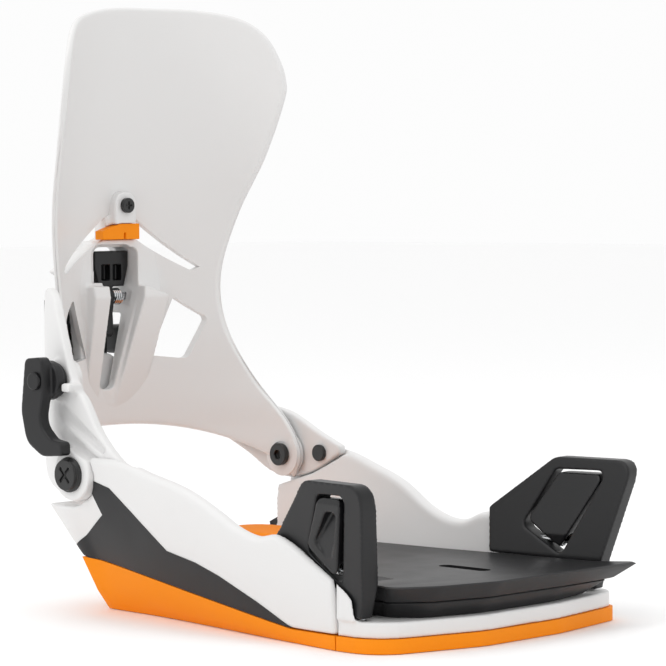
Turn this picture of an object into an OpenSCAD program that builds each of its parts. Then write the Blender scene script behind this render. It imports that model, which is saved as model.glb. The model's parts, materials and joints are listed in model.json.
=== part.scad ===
// Strapless step-in snowboard binding, right foot.
// X runs to the toe, Y to the inner (medial) side of the foot and Z up.
// The origin is the centre of the mounting disc on the board's surface.

/* [Chassis] */
// Length from the disc centre to the front of the sole
front_x = 100; // [96:1:104]
// Length from the disc centre to the back of the sole
rear_x = 108; // [104:1:112]
// Height of the front sole pad
pad_h = 6; // [5:0.5:7]
// Height of the front lip of the chassis
lip_z = 13; // [12.5:0.5:13.5]
// Joint between the rear chassis and the toe section
split_x = 61; // [60:0.5:62]

/* [Mounting disc] */
// Spacing of the four board bolts
bolt_grid = 40; // [40:0.5:41]
// Radius of each board bolt hole
bolt_hole_r = 3.2; // [3.1:0.1:3.6]
// Radius of the disc's flange
disc_r = 50; // [48:0.5:50.5]

/* [Highback] */
// Height of the highback's top edge
highback_top = 279; // [274:1:284]
// Thickness of the highback shell
shell_t = 3.5; // [3:0.5:4]
// Distance of the highback pivot behind the disc centre
pivot_x = -97; // [-98:0.5:-96]
// Height of the highback pivot
pivot_z = 64; // [63:0.5:65]
// Radius of the pivot bolts
pivot_r = 3.5; // [3:0.5:4]

/* [Heel lock] */
// Height of the heel catch pivot
catch_z = 141; // [140:0.5:142]
// Distance of the heel catch pivot behind the disc centre
catch_x = -156; // [-156.5:0.5:-155.5]
// Width of the heel catch
catch_w = 21; // [19:1:22]

/* [Release lever] */
// Distance of the lever hub behind the disc centre
lever_x = -112; // [-113:0.5:-111]
// Height of the lever hub
lever_z = 106; // [105:0.5:107]

/* [Toe hooks] */
// Height of the hooks' top edges
hook_top = 71; // [69:0.5:72]
// Gap round each latch plate
latch_gap = 1.2; // [1:0.1:1.6]

/* [Hidden] */

$fn = 48;
mid_y = -3;                 // middle plane of the highback and the hoop
fit = 0.05;                 // radial clearance of a pin in its bore
gap = 0.4;                  // clearance between parts that move apart
eps = 0.01;                 // overlap that keeps unions whole
white = [0.93, 0.93, 0.93];
orange = [0.96, 0.53, 0.05];
dark = [0.2, 0.2, 0.21];
black = [0.08, 0.08, 0.08];
steel = [0.7, 0.71, 0.73];

// ---------- geometry helpers ----------

function unit(v) = v / norm(v);

// Arc that rounds corner b between a and c with radius r.
function corner(a, b, c, r, n) = let(
    u = unit(a - b),
    v = unit(c - b),
    half = acos(u * v) / 2,
    p = b + u * r / tan(half),
    q = b + v * r / tan(half),
    centre = b + unit(u + v) * r / sin(half),
    start = atan2(p.y - centre.y, p.x - centre.x),
    raw = atan2(q.y - centre.y, q.x - centre.x) - start,
    turn = raw > 180 ? raw - 360 : raw < -180 ? raw + 360 : raw
) [for (i = [0:n]) centre + r * [cos(start + turn * i / n), sin(start + turn * i / n)]];

// Closed outline from corner points [x, y, radius].
function rounded(points, n = 6) = [
    for (i = [0:len(points) - 1]) let(
        a = points[(i + len(points) - 1) % len(points)],
        b = points[i],
        c = points[(i + 1) % len(points)]
    ) each b.z > 0
        ? corner([a.x, a.y], [b.x, b.y], [c.x, c.y], b.z, n)
        : [[b.x, b.y]]
];

// Smooth curve through a table of [position, value] rows.
function slope(t, i) = i == 0 ? (t[1][1] - t[0][1]) / (t[1][0] - t[0][0])
    : i == len(t) - 1 ? (t[i][1] - t[i - 1][1]) / (t[i][0] - t[i - 1][0])
    : (t[i + 1][1] - t[i - 1][1]) / (t[i + 1][0] - t[i - 1][0]);
function segment(t, x, i = 0) = i >= len(t) - 2 || x <= t[i + 1][0] ? i : segment(t, x, i + 1);
function curve(t, x) = let(
    i = segment(t, x),
    h = t[i + 1][0] - t[i][0],
    s = max(0, min(1, (x - t[i][0]) / h))
) t[i][1] * (2 * s * s * s - 3 * s * s + 1) + h * slope(t, i) * (s * s * s - 2 * s * s + s)
    + t[i + 1][1] * (3 * s * s - 2 * s * s * s) + h * slope(t, i + 1) * (s * s * s - s * s);

// Solid through a row of closed rings with the same number of points. The end
// rings are flat, or curved sheets whose points pair up across when bent is true.
module loft(rings, bent = false) {
    n = len(rings[0]);
    last = (len(rings) - 1) * n;
    ends = bent
        ? [for (j = [0:n / 2 - 2]) let(k = n - 1 - j) each [
            [j + 1, j, k], [j + 1, k, k - 1],
            [last + j, last + j + 1, last + k], [last + j + 1, last + k - 1, last + k]
        ]]
        : [[for (j = [n - 1:-1:0]) j], [for (j = [0:n - 1]) last + j]];
    sides = [
        for (i = [0:len(rings) - 2], j = [0:n - 1]) let(k = (j + 1) % n) each [
            [i * n + j, i * n + k, (i + 1) * n + k],
            [i * n + j, (i + 1) * n + k, (i + 1) * n + j]
        ]
    ];
    polyhedron([for (ring = rings) each ring], concat(ends, sides), convexity = 8);
}

// Outline in X and Z, extruded across Y from y0 to y1.
module side_prism(outline, y0, y1) {
    translate([0, y1, 0])
        rotate([90, 0, 0])
            linear_extrude(y1 - y0, convexity = 4)
                polygon(outline);
}

// Outline in Y and Z, extruded along X from x0 to x1.
module front_prism(outline, x0, x1) {
    translate([x0, 0, 0])
        rotate([90, 0, 90])
            linear_extrude(x1 - x0, convexity = 4)
                polygon(outline);
}

module plate(outline, z0, z1) {
    translate([0, 0, z0])
        linear_extrude(z1 - z0, convexity = 4)
            polygon(outline);
}

// Cylinder along Y from y0 to y1.
module rod_y(x, z, r, y0, y1) {
    translate([x, y1, z])
        rotate([90, 0, 0])
            cylinder(r = r, h = y1 - y0);
}

// ---------- sole, chassis and floor ----------

// Outline of the sole in X and Y, drawn in by e all round.
function sole(e = 0) = rounded([
    [-rear_x + e, -50 + e, 12],
    [60, -69 + e, 30],
    [84 - e, -68 + e, 20],
    [99 - e, -18, 40],
    [front_x - e, 30, 40],
    [92 - e, 83 - e, 10],
    [60, 73 - e, 30],
    [-rear_x + e, 50 - e, 12]
]);

// Top of the sole pad's outer skirt, which climbs towards the heel.
function skirt_z(x) = x > 35 ? pad_h + 0.3 : pad_h + 0.3 + (35 - x) * 0.128;

// Hollow inside the raised skirt of a sole pad.
module pad_hollow() {
    plate(sole(9), pad_h, 60);
    translate([0, 0, -1])
        cylinder(r = disc_r + 3, h = 20);
}

// Rows along X of the rear pad's half width on the board: lateral, medial.
pad_foot_y = [
    [[-102, 50.6], [-66, 52.2], [-27, 57], [17, 63.5], [61, 69]],
    [[-102, 50], [-66, 53], [-27, 58.5], [17, 65.5], [61, 72.6]]
];

// One slanting cross-section of the rear pad, whose skirt spreads out as it climbs.
function pad_ring(x) = let(
    back = x - 6.5 * (split_x - x) / (split_x + 102),
    z = skirt_z(back) - 0.3
) [
    [x, -curve(pad_foot_y[0], x), 0], [back, -curve(wall_foot_y[0], back), z],
    [back, curve(wall_foot_y[1], back), z], [x, curve(pad_foot_y[1], x), 0]
];

module base_pad_rear() {
    color(orange)
        difference() {
            loft([for (x = [-102, -84, -66, -46, -27, -5, 17, 35, 48, split_x - 0.2]) pad_ring(x)]);
            pad_hollow();
        }
}

module base_pad_front() {
    color(orange)
        difference() {
            intersection() {
                plate(sole(), 0, pad_h);
                translate([split_x + 0.2, -120, -1])
                    cube([100, 240, 60]);
            }
            pad_hollow();
        }
}

// Room between the webs in X and Y.
floor_room = rounded([[-93.2, -36.9, 5], [36.1, -51.5, 1], [36.1, 51.5, 1], [-93.2, 36.9, 5]]);

// Half width of the sole's straight sides at a place along X.
function sole_half(x) = 50 + (x + rear_x) * 0.113;

// Side walls. Rows of position and value for the height of the top edge, the
// outer face at the top and the outer face at the foot; 0 is lateral, 1 medial.
wall_top_z = [
    [[-126, 62], [-118, 66], [-108, 69], [-92, 72], [-68, 72], [-50, 67.5], [-27, 62], [-8, 54],
        [5, 47.5], [17, 44.5], [27, 46], [37, 43], [47, 37.5], [61, 30]],
    [[-126, 60], [-118, 64], [-108, 67], [-92, 70], [-62, 67.5], [-43, 62], [-24, 55], [-8, 45],
        [4, 40.5], [14, 40], [24, 44], [34, 44], [47, 37.5], [61, 31]]
];
wall_top_y = [
    [[-126, 71], [-118, 74], [-108, 75.8], [-68, 75.5], [17, 73], [61, 71]],
    [[-126, 67], [-118, 69.5], [-108, 70.5], [-24, 69.5], [14, 70.5], [61, 73]]
];
wall_foot_z = [[-126, 52], [-118, 40], [-108, 25.6], [-98.6, 23.5]];
wall_foot_y = [
    [[-126, 69], [-118, 65.5], [-108, 61], [-98.6, 58.5], [-68, 60.5], [-27, 64], [17, 67.2], [61, 69.2]],
    [[-126, 65], [-118, 63], [-108, 60], [-98.6, 58.5], [-62, 61], [-24, 65], [14, 69.5], [61, 72.6]]
];
wall_x = [-126, -118, -108, -98.6, -84, -70, -56, -42, -28, -14, -4, 5, 14, 23, 32, 46, split_x - 0.1];
wall_t = 7;

function foot_z(x) = x < -98.5 ? curve(wall_foot_z, x) : skirt_z(x) + 0.2;

// One cross-section of a wall and the flange at its foot; side is 0 or 1.
function wall_ring(x, side) = let(
    z0 = foot_z(x),
    y0 = curve(wall_foot_y[side], x),
    z1 = curve(wall_top_z[side], x),
    y1 = curve(wall_top_y[side], x),
    flange = sole_half(x) - 13.4,
    sign = side == 0 ? -1 : 1
) [for (p = [
    [y0, z0], [y0 + (y1 - y0) * 0.62, (z0 + z1) / 2], [y1, z1 - 4], [y1 - 1.5, z1],
    [y1 - wall_t + 1.5, z1], [y1 - wall_t, z1 - 4],
    [(y0 + y1) / 2 - wall_t, (z0 + z1) / 2], [y0 - wall_t, z0 + 5],
    [flange, z0 + 3], [flange, z0]
]) [x, sign * p.x, p.y]];

function ordered(rings, side) = side == 1 ? [for (i = [len(rings) - 1:-1:0]) rings[i]] : rings;

module wall(side) {
    loft(ordered([for (x = wall_x) wall_ring(x, side)], side));
}

// Web between the floor and a wall's flange, inside the raised skirt of the pad.
module web(side) {
    intersection() {
        plate(sole(9.4), 0, 60);
        mirror([0, side, 0])
            translate([-rear_x, -50 + 9.4, 0])
                rotate([0, 0, -atan(0.113)])
                    side_prism([[9.6, pad_h + 0.4], [166, pad_h + 0.4], [166, 8.4], [142, 8.4], [9.6, 25.4]],
                        0, 5);
    }
}

lap_screw = [-76, 65.5];
// Lower edge of the hoop's arms in X and Z: lateral, medial.
lap_line = [[[-58, 64.4], [-82, 62], [-88, 60.6], [-97, 50.2], [-102, 48.6]], [[-58, 67.2], [-80, 55.6], [-102, 48.6]]];

// Space inside the top of a side wall that takes the arm of the heel hoop.
module lap_joint(side, y0, y1) {
    side_prism(concat(lap_line[side], [[-140, 48.6], [-140, 95], [-58, 95]]), y0, y1);
}

module chassis_floor() {
    intersection() {
        plate(sole(9.2), pad_h + 0.3, lip_z);
        translate([-200, -120, 0])
            cube([200 + split_x - 0.5, 240, 60]);
    }
}

// Room for the mounting disc, stepped so that the disc's flange holds the floor down.
module disc_room() {
    cylinder(r = disc_r - 3.6, h = 40);
    translate([0, 0, 8.9])
        cylinder(r = disc_r + gap, h = 20);
}

module chassis() {
    color(white)
        difference() {
            union() {
                chassis_floor();
                for (side = [0, 1]) {
                    wall(side);
                    web(side);
                }
            }
            side_prism([[-140, 10], [-95, 10], [-96.4, 31.6], [-99.8, 41], [-101.7, 50], [-101.7, 95], [-140, 95]], 20, 100);
            side_prism([[-140, 51], [-104, 51], [-104, 95], [-140, 95]], -100, -20);
            disc_room();
            plate(footbed_outline(-53, 51.4), 20.1, 60);
            lap_joint(0, -72.8, -50);
            lap_joint(1, 50, 66.8);
            rod_y(pivot_x, pivot_z, 12.3, -100, -60);
            rod_y(pivot_x, pivot_z, 16.8, -67.5, -50);
            rod_y(pivot_x, pivot_z, 8, 60, 100);
            rod_y(lap_screw.x, lap_screw.y, 4.3, -68, -50);
            for (side = [-1, 1])
                rod_y(lap_screw.x, lap_screw.y, 2, side > 0 ? 40 : -74, side > 0 ? 69.3 : -40);
            for (side = [0, 1]) {
                panel(side, 1.2, 4);
                hook_room(side);
            }
        }
}

module toe_section() {
    color(white)
        difference() {
            union() {
                intersection() {
                    plate(sole(1), pad_h + 0.2, lip_z);
                    translate([split_x + 0.1, -120, 0])
                        cube([80, 240, 60]);
                }
                side_prism([[split_x + 0.1, lip_z - eps], [72, lip_z - eps], [70, 22], [split_x + 0.1, 30]],
                    -69, -61);
                side_prism([[split_x + 0.1, lip_z - eps], [85, lip_z - eps], [80, 20], [split_x + 0.1, 31]],
                    63, 72.6);
            }
            for (side = [0, 1]) {
                hook_room(side);
                hook_screw_place(side) {
                    cylinder(r = 2, h = 40);
                    translate([0, 0, -1])
                        cylinder(r = 4.2, h = 3.1);
                }
            }
        }
}

// ---------- mounting disc ----------

module mounting_disc() {
    color(dark)
        difference() {
            union() {
                cylinder(r = disc_r - 4, h = 8.5);
                translate([0, 0, 9.2])
                    cylinder(r1 = disc_r, r2 = disc_r - 1, h = 3.3);
                translate([0, 0, 8.5 - eps])
                    cylinder(r = disc_r - 4, h = 0.8);
            }
            for (x = [-1, 1], y = [-1, 1])
                translate([x * bolt_grid / 2, y * bolt_grid / 2, -1]) {
                    cylinder(r = bolt_hole_r, h = 20);
                    translate([0, 0, 8.5])
                        cylinder(r = 6.5, h = 20);
                }
            for (a = [0:15:345])
                rotate([0, 0, a])
                    translate([disc_r - 2, 0, 13.1])
                        cube([6, 1.2, 2], center = true);
        }
}

// ---------- footbed ----------

footbed_front = [
    [84, -61, 7], [96, -42, 14], [104, -15, 30], [105.5, 30, 40], [108.5, 76, 1.5]
];

function footbed_outline(rear, half) = rounded(concat(
    [[rear, -half, 6], [30, -53, 10], [64, -56.5, 8], [78, -58.5, 2]],
    footbed_front,
    [[92, 62, 4], [50, 58, 10], [10, 54, 10], [rear, half, 6]]
));

module footbed_base() {
    color(dark)
        difference() {
            intersection() {
                plate(footbed_outline(-104, 49), lip_z + 0.1, 20);
                union() {
                    plate(floor_room, 0, 60);
                    intersection() {
                        plate(sole(1.5), 0, 60);
                        translate([36, -120, 0])
                            cube([100, 240, 60]);
                    }
                }
            }
            translate([0, 0, lip_z - 1])
                cylinder(r = disc_r - 6, h = 20);
            translate([72, 8, 0]) {
                cylinder(r = 2.5, h = 40);
                translate([0, 0, lip_z])
                    cylinder(r = 5.2, h = 3.2, $fn = 6);
            }
        }
}

module toe_ramp() {
    color(dark)
        difference() {
            union() {
                plate(footbed_outline(-52, 51), 20.4, 26);
                intersection() {
                    plate(footbed_outline(-52, 51), 20.4, 30);
                    side_prism([[-60, 21], [112, 21], [112, 28.5], [96, 27.6], [-60, 27]], -60, 90);
                }
            }
            for (step = [[2.5, 0], [3.4, 23.2]]) {
                for (x = [54, 75])
                    translate([x, 8, step.y])
                        cylinder(r = step.x, h = 60);
                translate([54, 8 - step.x, step.y])
                    cube([21, 2 * step.x, 60]);
            }
            for (i = [0:14])
                rotate([0, 0, -12])
                    translate([10 + i * 4, -58, 26.6])
                        cube([1.2, 44, 3]);
        }
}

heel_pad_outline = rounded([[-104, -46, 12], [-56, -49, 3], [-56, 49, 3], [-104, 46, 12]]);

module heel_pad() {
    color(orange)
        difference() {
            union() {
                plate(heel_pad_outline, 27.6, 31);
                intersection() {
                    plate(heel_pad_outline, 20.1, 31);
                    plate(floor_room, 0, 60);
                }
            }
            side_prism([[-70, 40], [-50, 40], [-50, 26]], -60, 60);
            translate([-82, 0, 71])
                rotate([0, 90, 0])
                    cylinder(r = 44, h = 80, center = true);
        }
}

module ramp_screw() {
    color(black)
        difference() {
            translate([72, 8, 0])
                union() {
                    translate([0, 0, 13.4])
                        cylinder(r = 2.3, h = 10.1);
                    translate([0, 0, 23.4])
                        cylinder(r = 3.2, h = 1.8);
                }
            translate([72, 8, 25])
                cube([4.4, 0.9, 1.2], center = true);
        }
}

module ramp_nut() {
    color(steel)
        translate([72, 8, lip_z + 0.15])
            difference() {
                cylinder(r = 5, h = 2.8, $fn = 6);
                translate([0, 0, -1])
                    cylinder(r = 2.35, h = 8);
            }
}

// ---------- graphic panels ----------

panel_side = [
    [-90, 63], [-75, 59], [-43, 33], [-24, 29.5], [-9, 25], [14, 16],
    [34, 6.8], [10, 9], [-107, 24], [-110, 30], [-101, 35], [-84, 46]
];

// Slice of the panel's outline, from depth inside a wall's outer face to proud of it.
module panel(side, depth, proud) {
    sign = side == 0 ? -1 : 1;
    rings = [for (x = wall_x) let(r = wall_ring(x, side)) [
        for (i = [0:2]) r[i] - [0, sign * depth, 0],
        for (i = [2:-1:0]) r[i] + [0, sign * proud, 0]
    ]];
    difference() {
        intersection() {
            loft(ordered(rings, 1 - side));
            side_prism(panel_side, side == 1 ? 0 : -100, side == 1 ? 100 : 0);
        }
        rod_y(pivot_x, pivot_z, 12.6, -100, 100);
    }
}

module lateral_panel() {
    color(dark)
        panel(0, 1.1, 0.1);
}

module medial_panel() {
    color(dark)
        panel(1, 1.1, 0.1);
}

// ---------- toe hooks and latches ----------

hook_turn = 7.4;
hook_x = [77, 90];          // front foot of the lateral and the medial hook
hook_y = [68, 74];
hook_z = 20;
hook_h = hook_top - hook_z;

// Puts a hook drawn at the lateral side, front foot at the origin, in its place.
module place_hook(side) {
    mirror([0, side, 0])
        translate([hook_x[side], -hook_y[side], hook_z])
            rotate([0, 0, -hook_turn])
                children();
}

// Cross-section of a hook in Y and Z: thick at the base, thin at the top.
hook_section = [[-0.5, -6], [6.5, -6], [7, 8], [-3.2, hook_h], [-11.2, hook_h], [0, 0]];
hook_profile = [
    [[-55, 24, 0], [-50, 28, 3], [-27, hook_h, 8], [10, hook_h, 6], [9, 40, 5], [-3, -6, 0],
        [-11, -6, 0], [-21, 8, 4], [-36, 20, 4], [-46, 23.5, 3]],
    [[-58, 7, 0], [-61, 27, 2], [-29, hook_h, 8], [11, hook_h, 6], [10, 42, 5], [-2, -6, 0],
        [-12, -6, 0], [-24, 6, 4]]
];
hook_window = [
    [[-19, 45.5, 3], [-1, 46, 3], [-13, 7, 3], [-33, 20, 3]],
    [[-28, 45.5, 3], [-1, 46, 3], [-20, 8, 3], [-42, 20, 3]]
];

// Room that a hook takes out of the wall below it.
module hook_room(side) {
    place_hook(side)
        intersection() {
            front_prism([[-1.2, -6.5], [8.6, -6.5], [9, 8], [-2, 60], [-14, 60], [-0.8, 0]], -80, 20);
            side_prism(rounded([for (p = hook_profile[side])
                p + [p.x > -5 ? 1 : 0, p.y < 30 ? -0.4 : 0, 0]]), -30, 20);
        }
}

pin_y = 0;
pin_z = 14;

// Bore of the latch pin, with radius r, from x0 to x1.
module latch_axis(r, x0, x1) {
    translate([x0, pin_y, pin_z])
        rotate([0, 90, 0])
            cylinder(r = r, h = x1 - x0);
}

module hook(side) {
    difference() {
        place_hook(side)
            difference() {
                intersection() {
                    front_prism(hook_section, -70, 16);
                    side_prism(rounded(hook_profile[side]), -30, 20);
                }
                side_prism(rounded(hook_window[side]), -40, 40);
                latch_axis(1.5, pin_back[side], -4);
            }
        hook_screw_place(side)
            cylinder(r = 1.92, h = 12.3);
    }
}

pin_back = [-27.5, -47];
latch_section = [[-3, 9], [4.5, 9], [5, 17], [-2.6, 44], [-9.5, 44.5], [-10.5, 42], [-4, 12]];
latch_low = 1.8;            // extra gap below a latch, for its swing

module latch(side) {
    w = hook_window[side];
    g = latch_gap;
    place_hook(side)
        difference() {
            intersection() {
                front_prism(latch_section, -60, 20);
                side_prism(rounded([
                    w[0] + [g + 0.4, -g, 0], w[1] + [-g - 0.2, -g, 0],
                    w[2] + [-g, g + latch_low, 0], w[3] + [g + 1.2, g + latch_low, 0]
                ]), -40, 40);
            }
            side_prism(rounded([
                w[0] + [5, -7, -1], w[1] + [-5.5, -7, -1], w[2] + [-3, 9, -1], w[3] + [8, 5, -1]
            ]), -40, -5.5);
            latch_axis(1.5 + fit, -60, 20);
            latch_axis(3.4, w[2].x - 4.4 - g, w[2].x + 10);
        }
}

module latch_pin(side) {
    place_hook(side)
        latch_axis(1.5, pin_back[side], -4);
}

module ring_spring(r, wire, pitch, turns) {
    for (i = [0:turns - 1])
        translate([0, 0, i * pitch])
            rotate_extrude()
                translate([r, 0])
                    circle(r = wire, $fn = 16);
}

module latch_spring(side) {
    place_hook(side)
        translate([hook_window[side][2].x - 4, pin_y, pin_z])
            rotate([0, 90, 0])
                ring_spring(2.4, 0.45, 0.8, 3);
}

module lateral_toe_hook() {
    color(dark)
        hook(0);
}

module medial_toe_hook() {
    color(dark)
        hook(1);
}

module lateral_toe_latch() {
    color(black)
        latch(0);
}

module medial_toe_latch() {
    color(black)
        latch(1);
}

module lateral_latch_pin() {
    color(steel)
        latch_pin(0);
}

module medial_latch_pin() {
    color(steel)
        latch_pin(1);
}

module lateral_latch_spring() {
    color(steel)
        latch_spring(0);
}

module medial_latch_spring() {
    color(steel)
        latch_spring(1);
}

module hook_screw_place(side) {
    translate([hook_x[side] - 7, side == 0 ? -62.5 : 66, pad_h + 0.4])
        children();
}

module hook_screws() {
    color(steel)
        for (side = [0, 1])
            hook_screw_place(side)
                union() {
                    cylinder(r = 4, h = 2);
                    cylinder(r = 1.9, h = 12);
                }
}

// ---------- heel hoop ----------

hoop_w = 69.5;
hoop_d = 66;
hoop_t = 4.5;

// Height of the hoop's top and bottom edges along its path: 0 is the middle of
// the back, 90 the inner pivot, and past 90 each step is 1 mm forward.
hoop_top_rows = [
    [-124, 68.5], [-116, 72], [-103, 84], [-94.5, 97], [-89, 102.5], [-85, 109], [-79, 125.5],
    [-72, 141.5], [-66, 146.5], [-58, 146], [-51, 134], [-44, 114], [-38, 112], [0, 112],
    [20, 108], [45, 98], [70, 89], [90, 84], [110, 75], [124, 69.5]
];
hoop_bottom_rows = [
    [-124, 65], [-112, 63.5], [-101, 62.5], [-90, 51.5], [-80, 53], [-60, 60], [-40, 74], [-20, 83], [0, 86],
    [20, 85], [45, 78], [65, 65], [78, 55], [90, 52.5], [105, 56], [124, 66]
];

// Place on the hoop's path, drawn in by e.
function hoop_xy(p, e) = let(a = max(-90, min(90, p))) [
    pivot_x - (hoop_d - e) * cos(a) + max(0, abs(p) - 90),
    mid_y + (hoop_w - e) * sin(a)
];
function hoop_ring(p) = let(
    outer = hoop_xy(p, 0),
    inner = hoop_xy(p, hoop_t),
    z0 = curve(hoop_bottom_rows, p),
    z1 = curve(hoop_top_rows, p)
) [
    [inner.x, inner.y, z0], [inner.x, inner.y, z1],
    [outer.x, outer.y, z1], [outer.x, outer.y, z0]
];

module heel_hoop() {
    color(white)
        difference() {
            union() {
                loft([for (p = concat([-124, -116, -107, -99], [for (a = [-91:7:91]) a], [100, 110, 117, 124]))
                    hoop_ring(p)]);
                rod_y(pivot_x, pivot_z, 12, -77.5, -68);
                rod_y(lever_x, lever_z, 9.5, -71.6, -64);
                side_prism([[-102.6, 101], [-97, 101], [-97, 105], [-102.6, 105]], -78, -69);
            }
            rod_y(pivot_x, pivot_z, pivot_r + fit, -100, 100);
            rod_y(lever_x, lever_z, 3 + fit, -100, -40);
            for (side = [-1, 1])
                rod_y(lap_screw.x, lap_screw.y, 2, side > 0 ? 40 : -100, side > 0 ? 100 : -40);
        }
}

module lap_screw_at(side) {
    mirror([0, side > 0 ? 0 : 1, 0])
        union() {
            rod_y(lap_screw.x, lap_screw.y, 1.95, side > 0 ? 61.9 : 67.8, side > 0 ? 69 : 73.6);
            rod_y(lap_screw.x, lap_screw.y, 4, side > 0 ? 60.1 : 66, side > 0 ? 62 : 67.9);
        }
}

module hoop_screws() {
    color(black) {
        lap_screw_at(-1);
        lap_screw_at(1);
    }
}

// ---------- highback pivots ----------

module lateral_pivot_screw() {
    color(black)
        difference() {
            union() {
                rod_y(pivot_x, pivot_z, 8, -79.2, -77.6);
                rod_y(pivot_x, pivot_z, 7, -81.2, -79.2);
                rod_y(pivot_x, pivot_z, pivot_r, -77.6, -58.5);
            }
            for (a = [45, 135])
                translate([pivot_x, -80.7, pivot_z])
                    rotate([0, a, 0])
                        cube([9, 1.6, 1.6], center = true);
        }
}

module medial_pivot_bolt() {
    color(black)
        difference() {
            union() {
                rod_y(pivot_x, pivot_z, 5.4, 53.6, 56.3);
                rod_y(pivot_x, pivot_z, pivot_r, 56.3, 71);
            }
            translate([pivot_x, 55.5, pivot_z])
                rotate([90, 0, 0])
                    cylinder(r = 2.4, h = 4, $fn = 6);
        }
}

module pivot_nut(y0, y1) {
    difference() {
        rod_y(pivot_x, pivot_z, 6, y0, y1);
        rod_y(pivot_x, pivot_z, pivot_r + 0.03, y0 - 1, y1 + 1);
    }
}

module pivot_nuts() {
    color(steel) {
        pivot_nut(-61.9, -59);
        pivot_nut(66.7, 70.2);
    }
}

// ---------- highback ----------

// Rows of height and value: inner face at the middle, edge position, half width.
hb_back = [[50, -150], [80, -151], [130, -151.5], [150, -150.5], [180, -147], [230, -140], [285, -131.5]];
hb_edge = [
    [50, -92], [64, -86], [80, -94], [100, -113.5], [125, -127], [150, -131.5],
    [180, -125.5], [210, -112.5], [245, -101], [285, -95]
];
hb_half = [[50, 60], [64, 60], [80, 59], [100, 56], [125, 50], [150, 50], [180, 56.5], [210, 64], [245, 68], [285, 66]];
hb_crown = [
    [-1, -56], [-0.95, -38], [-0.87, -23], [-0.72, -11], [-0.5, -5], [-0.2, -1], [0.1, 0],
    [0.45, -0.5], [0.7, -4.5], [0.85, -13], [0.95, -27], [1, -39]
];

function hb_point(s, z, t) = let(
    back = curve(hb_back, z),
    edge = curve(hb_edge, z),
    half = curve(hb_half, z),
    bend = min(90, 2 * atan((edge - back) / half))
) [
    back - t + (edge - back + t) * (1 - cos(s * bend)) / (1 - cos(bend)),
    mid_y + (half + t) * sin(s * bend) / sin(bend),
    z
];
function hb_bottom(s) = 79 - 26 * pow(abs(s), 2.4);
function hb_top(s) = highback_top + curve(hb_crown, s);
function hb_z(s, v) = hb_bottom(s) + (hb_top(s) - hb_bottom(s)) * v;

hb_rows = 18;
hb_columns = 26;

module highback_shell() {
    color(white)
        difference() {
            union() {
                loft([for (i = [0:hb_columns]) let(s = -cos(180 * i / hb_columns)) concat(
                    [for (j = [0:hb_rows]) hb_point(s, hb_z(s, j / hb_rows), 0)],
                    [for (j = [hb_rows:-1:0]) hb_point(s, hb_z(s, j / hb_rows), shell_t)]
                )], bent = true);
                rod_y(pivot_x, pivot_z, 10.5, 56.4, 60.9);
                rod_y(pivot_x, pivot_z, 10.5, -66.9, -62);
            }
            rod_y(pivot_x, pivot_z, pivot_r + fit, -100, 100);
            rod_y(pivot_x, pivot_z, 6.2, 40, 56.5);
            rod_y(pivot_x, pivot_z, 6.8, -61.95, -40);
            front_prism(receiver_hole, -190, -120);
            for (side = [0, 1])
                translate([0, side * 2 * mid_y, 0])
                    mirror([0, side, 0])
                        front_prism(rounded([[29, 140.5, 3], [42.5, 130, 4], [34, 110, 4], [18.5, 112, 1]]), -190, -110);
        }
}

receiver_hole = [
    [-18, 90], [12, 90], [21, 148], [38.5, 155], [6.5, 177.5], [6.5, 195],
    [-12.5, 195], [-12.5, 177.5], [-44.5, 155], [-27, 148]
];
receiver_outline = [
    [-17.7, 90.3], [11.7, 90.3], [20.6, 148.3], [34.6, 153.9], [5.4, 170], [5.4, 194.6],
    [-11.4, 194.6], [-11.4, 170], [-40.6, 153.9], [-26.6, 148.3]
];
slab_back = -155.4;         // rear face of the receiver, just behind the shell
cheek_y = catch_w / 2 + 0.6;

// Posts beside the catch, leaning back towards their feet.
post_side = [[-152, 93], [-151, 94], [-140, 141], [-140, 146], [-152, 146]];

module heel_receiver() {
    color(white)
        difference() {
            union() {
                front_prism(receiver_outline, slab_back, -146);
                intersection() {
                    front_prism([[-24, 150], [-14, 150], [-13.8, 97.2], [-3.6, 97.2], [8.2, 147], [23, 142],
                        [13, 93.5], [-22, 93.5]], -160, -130);
                    side_prism(post_side, -40, 40);
                    union() {
                        front_prism(receiver_outline, -160, -130);
                        translate([-146.2, -40, 90])
                            cube([12, 80, 70]);
                    }
                }
                side_prism([[-152, 179], [-152, 193], [-141.6, 193], [-141.6, 181]], mid_y - 7.4, mid_y + 8);
                translate([-167, mid_y - cheek_y - 3.4, 133])
                    cube([18, 2 * cheek_y + 6.8, 35]);
            }
            front_prism([[-20.5, 150.2], [5, 150.2], [5, 165.6], [-20.5, 165.6]], -153.2, -120);
            front_prism([[-13.8, 97.4], [-4, 97.4], [mid_y + cheek_y, 147],
                [mid_y + cheek_y, 164.5], [mid_y - cheek_y, 164.5], [mid_y - cheek_y, 150]], -180, -120);
            rod_y(catch_x, catch_z, 2, mid_y - 20, mid_y + 20);
            translate([-170, lean_y, 122.6])
                rotate([0, 90, 0])
                    cylinder(r = 1.95, h = 17.9);
            translate([-170, mid_y, 185])
                rotate([0, 90, 0])
                    cylinder(r = 2, h = 60);
            front_prism([[mid_y - 14, 168.5], [mid_y + 9.5, 168.5], [mid_y + 9.5, 176.5],
                [mid_y - 3, 176.5], [mid_y - 14, 173]], -148.2, -120);
        }
}

module receiver_marker() {
    color(orange)
        difference() {
            front_prism([[mid_y - 13.8, 168.7], [mid_y + 9.3, 168.7], [mid_y + 9.3, 176.3],
                [mid_y - 3, 176.3], [mid_y - 13.8, 172.8]], -148.2, -142.5);
            front_prism([[mid_y - 0.5, 168], [mid_y + 0.7, 168], [mid_y + 0.7, 172], [mid_y - 0.5, 172]], -144.6, -140);
        }
}

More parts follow.
